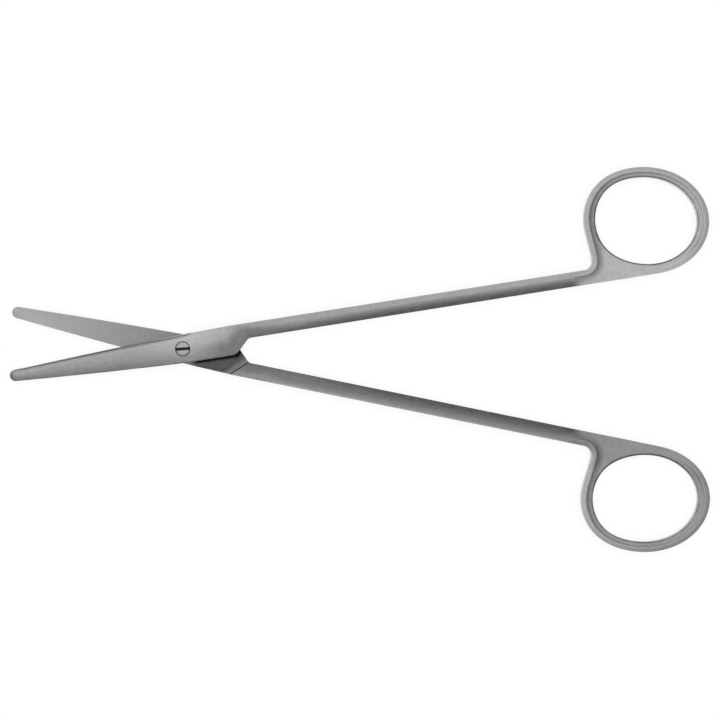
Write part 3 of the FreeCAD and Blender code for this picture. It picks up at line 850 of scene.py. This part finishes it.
class Finish:
    """A material or world and its nodes."""
    def __init__(self, tree):
        self.tree = tree
        self.tree.nodes.clear()

    def node(self, kind, settings={}, values={}, output=0):
        made = self.tree.nodes.new(kind)
        for name, value in settings.items():
            if name == "stops":
                ramp = made.color_ramp
                while len(ramp.elements) < len(value):
                    ramp.elements.new(0.5)
                for element, (place, shade) in zip(ramp.elements, value):
                    element.position = place
                    element.color = (shade, shade, shade, 1)
            else:
                setattr(made, name, value)
        for name, value in values.items():
            if isinstance(value, Wire):
                self.tree.links.new(value.socket, made.inputs[name])
            else:
                made.inputs[name].default_value = value
        return Wire(self, made.outputs[output]) if len(made.outputs) else None

    def axes(self, vector):
        return [self.node("ShaderNodeSeparateXYZ", {}, {0: vector}, output=axis)
                for axis in range(3)]

    def noise(self, vector, scale, detail=3.0):
        """Noise round zero, from about -0.3 to 0.3."""
        return self.node("ShaderNodeTexNoise", {}, {
            "Vector": vector, "Scale": scale, "Detail": detail}) - 0.5

    def lines(self, vector, scale, turn=0.0, detail=3.0):
        """Noise stretched by a scale for each axis, turned beforehand."""
        turned = self.node("ShaderNodeMapping", {}, {"Vector": vector, "Rotation": (0, 0, turn)})
        return self.noise(self.node("ShaderNodeMapping", {}, {
            "Vector": turned, "Scale": scale}), 1.0, detail)

    def metal(self, share, dark, light, roughness, height, depth):
        """Bare metal between two shades, with a bump of a depth in millimetres."""
        shade = self.node("ShaderNodeMix", {"data_type": "RGBA"}, {
            0: share.clamped(), 6: (dark, dark, dark, 1), 7: (light, light, light, 1)}, output=2)
        bump = self.node("ShaderNodeBump", {}, {
            "Height": height, "Strength": 1.0, "Distance": depth * MM})
        shader = self.node("ShaderNodeBsdfPrincipled", {}, {
            "Base Color": shade, "Metallic": 1.0, "Roughness": roughness, "Normal": bump})
        self.node("ShaderNodeOutputMaterial", {}, {"Surface": shader})


def finish_of(name):
    material = bpy.data.materials.get(name) or bpy.data.materials.new(name)
    material.use_nodes = True
    return material, Finish(material.node_tree)


print("shader tools ready")

# %% [markdown]
# ## Forged satin
# The outside of the halves is brushed with a fine wheel along the bar, then
# bead blasted a little, so that it shines softly and shows no sharp
# reflection. Streaks and hairlines follow the first pattern, which runs along
# the bar, round the ring and down the walls. Patches of a millimetre or two,
# where the wheel pressed harder, follow the plan. The crest gets rubbed
# brighter by hands and cloths. The polish attribute of each stretch, which holds
# painted light and shade as well as polish, multiplies them all.

# %% Forged satin
_, satin = finish_of("forged_satin")
along_bar, from_outer, _ = satin.axes(satin.node("ShaderNodeUVMap", {"uv_map": "UVMap"}))
height = satin.axes(satin.node("ShaderNodeTexCoord", output=3))[2] * 1000
brushing = satin.node("ShaderNodeCombineXYZ", {}, {0: along_bar, 1: from_outer + height})
plan_view = satin.node("ShaderNodeUVMap", {"uv_map": "plan"})
streaks = satin.lines(brushing, (0.16, 5, 1))
hairlines = satin.lines(brushing, (0.7, 24, 1))
patches = satin.noise(plan_view, 0.8)
specks = satin.noise(plan_view, 6.0, 2.0)
rubbed = (1 - abs(from_outer + 1.2) * 3).clamped()
# The polish attribute holds painted light and shade as well as uneven polish.
polish = satin.node("ShaderNodeAttribute", {"attribute_name": "polish"}, {}, output=2)
tone = polish * (0.51 + 0.3 * streaks + 0.22 * hairlines + 0.24 * patches
                 + 0.2 * specks + 0.03 * rubbed)
rough = 0.34 + 0.12 * streaks + 0.15 * patches - 0.04 * rubbed
satin.metal(tone, 0.0, 1.0, rough, streaks + hairlines, 0.010)

# %% [markdown]
# ## Ground flat
# The inner faces are ground on a flat wheel, so they are level and duller than
# the outside, with fine lines across the blade. Towards the tips they are
# painted lighter, a painted gradient of light. In the lap, the milling lines run
# along the shoulder. The lap is painted dark as shade, lighter towards the
# shoulder, and darkest as a painted contact shadow up to the other half's
# border, which the finish works out from the joint's outline.

# %% Ground flat
_, flat = finish_of("ground_flat")
plan_view = flat.node("ShaderNodeUVMap", {"uv_map": "plan"})
from_pivot, aside, _ = flat.axes(plan_view)
across_lines = flat.lines(plan_view, (5, 0.3, 1))
mill_lines = flat.lines(plan_view, (4, 0.25, 1), math.radians(-45))
cloud = flat.noise(plan_view, 0.9)
in_lap = (0.5 * from_pivot - 1).clamped()
to_shoulder = (SHOULDER - from_pivot - aside) * math.sqrt(0.5)
# Painted light: the flat faces are painted lighter towards the tips.
flat_tone_and_light = 0.35 - 0.0078 * from_pivot + 0.18 * across_lines + 0.18 * cloud
opening = 2 * HALF_OPENING
other_along = math.cos(opening) * from_pivot - math.sin(opening) * aside
other_aside = -math.sin(opening) * from_pivot - math.cos(opening) * aside
# Painted contact shadow: the lap is painted darkest along the other half's border at rest.
past_edge = (-JOINT_HALF - other_aside).largest(
    math.sqrt(0.5) * (other_along - other_aside - HOOK_REACH))
painted_contact_shadow = 0.06 + 0.94 * (1.8 * past_edge - 0.6).clamped()
# Painted shade: the lap is painted dark, lighter towards the shoulder.
foot = (1 - 0.5 * to_shoulder).clamped()
lap_tone_and_shade = painted_contact_shadow * (0.14 + 0.24 * foot + 0.2 * mill_lines + 0.08 * cloud)
tone = flat_tone_and_light + (lap_tone_and_shade - flat_tone_and_light) * in_lap
rough = 0.42 + 0.1 * cloud + 0.1 * across_lines
grain = across_lines + (mill_lines - across_lines) * in_lap
flat.metal(tone, 0.0, 1.0, rough, grain, 0.008)

# %% [markdown]
# ## Screw and seats
# The head was turned on a lathe, so its fine rings run round the axis. Slot,
# seat, bores and the groove at the shoulder are painted nearly black, as
# painted shade in these recesses. A wave texture could draw the rings, but a
# real cut isn't regular, so a noise is read by the distance from the axis alone.

# %% Screw and seats
_, lathe = finish_of("turned_steel")
place = lathe.node("ShaderNodeTexCoord", output=3)
x, y, _ = lathe.axes(place)
radius = lathe.node("ShaderNodeMath", {"operation": "SQRT"}, {0: x * x + y * y})
rings = lathe.noise(lathe.node("ShaderNodeCombineXYZ", {}, {0: radius * 14000}), 1.0)
cloud = lathe.noise(place, 900.0)
lathe.metal(0.5 + rings + cloud, 0.46, 0.66, 0.32 + 0.2 * cloud, rings, 0.004)
# Slot and seat finishes are painted nearly black as shade in their recesses.
for name in ("painted_shade_slot", "painted_shade_seat"):
    _, recess_shade = finish_of(name)
    place = recess_shade.node("ShaderNodeTexCoord", output=3)
    cloud = recess_shade.noise(place, 2500.0)
    recess_shade.metal(0.5 + cloud, 0.02, 0.10, 0.55 + 0.3 * cloud, cloud, 0.01)
print("finishes:", sorted(material.name for material in bpy.data.materials))

# %% [markdown]
# ## Light tent
# Such instruments are photographed from above in a light tent on white paper:
# bright cloth all round the lens, a darker room lower down, and paper that
# shines back from below. A flat face mirrors the bright cloth, a steep one the
# dark room, and that is what draws the relief. The world is that tent, as a
# brightness by the angle from an axis that leans a little to the left, with a
# small dark hole straight above for the lens. Lamps and planes could stand in
# for the cloth, but one ramp of angles is easier to set against the relief.

# %% Floor
select_none()
bpy.ops.mesh.primitive_plane_add(size=6, location=(0, 0, 0))
floor = bpy.context.object
floor.name = "floor"
paper, sheet = finish_of("white_paper")
matte = sheet.node("ShaderNodeBsdfDiffuse", {}, {"Color": (0.92, 0.92, 0.92, 1)})
glow = sheet.node("ShaderNodeEmission", {}, {"Color": (1, 1, 1, 1), "Strength": 1.0})
GLOW_SHARE, GLOSSY_RAY, TRANSMITTED_RAY = 0.85, 3, 6
seen = sum((sheet.node("ShaderNodeLightPath", output=number)
            for number in (GLOSSY_RAY, TRANSMITTED_RAY)), sheet.node("ShaderNodeLightPath"))
blend = sheet.node("ShaderNodeMixShader", {}, {
    0: (seen * GLOW_SHARE).clamped(), 1: matte, 2: glow})
sheet.node("ShaderNodeOutputMaterial", {}, {"Surface": blend})
floor.data.materials.append(paper)

# %% World
world = bpy.data.worlds.new("light_tent")
bpy.context.scene.world = world
world.use_nodes = True
tent = Finish(world.node_tree)
ray = tent.node("ShaderNodeTexCoord")


def angle_from(axis):
    """Angle between the ray and an axis, as a share of a right angle."""
    facing = tent.node("ShaderNodeVectorMath", {"operation": "DOT_PRODUCT"}, {
        0: ray, 1: Vector(axis).normalized()}, output=1)
    return tent.node("ShaderNodeMath", {"operation": "ARCCOSINE"}, {0: facing}) * (2 / math.pi)


cloth = tent.node("ShaderNodeValToRGB", {"stops": [
    (0.0, 1.0), (0.21, 0.95), (0.34, 0.45), (0.49, 0.15), (0.9, 0.14), (1.0, 0.28)]},
    {"Fac": angle_from((-0.05, 0.06, 1))})
lens_hole = tent.node("ShaderNodeValToRGB", {"stops": [
    (0.0, 0.1), (0.03, 0.12), (0.065, 1.0)]}, {"Fac": angle_from((0, 0, 1))})
brightness = 1.2 * cloth * lens_hole
back = tent.node("ShaderNodeBackground", {}, {"Strength": brightness})
tent.node("ShaderNodeOutputWorld", {}, {"Surface": back})

# %% Lamp
bpy.ops.object.light_add(type="AREA", location=(0.05, 0, 1.2))
lamp = bpy.context.object
lamp.name = "key"
lamp.data.shape = "DISK"
lamp.data.size = 1.6
lamp.data.energy = 16
lamp.visible_glossy = False

# %% [markdown]
# ## Camera
# The photograph looks straight down. A long lens half a metre above the table
# keeps the perspective as small as it is there.

# %% Camera
AIM = (44.2 * MM, -1.8 * MM, 2.26 * MM)
DISTANCE, VIEW_WIDTH, CAMERA_TURN = 0.5, 0.180, math.radians(1.26)
bpy.ops.object.camera_add(location=(AIM[0], AIM[1], AIM[2] + DISTANCE),
                          rotation=(0, 0, CAMERA_TURN))
camera = bpy.context.object
camera.data.sensor_width = 36
camera.data.lens = camera.data.sensor_width * DISTANCE / VIEW_WIDTH
bpy.context.scene.camera = camera
bpy.context.scene.view_settings.view_transform = "Standard"
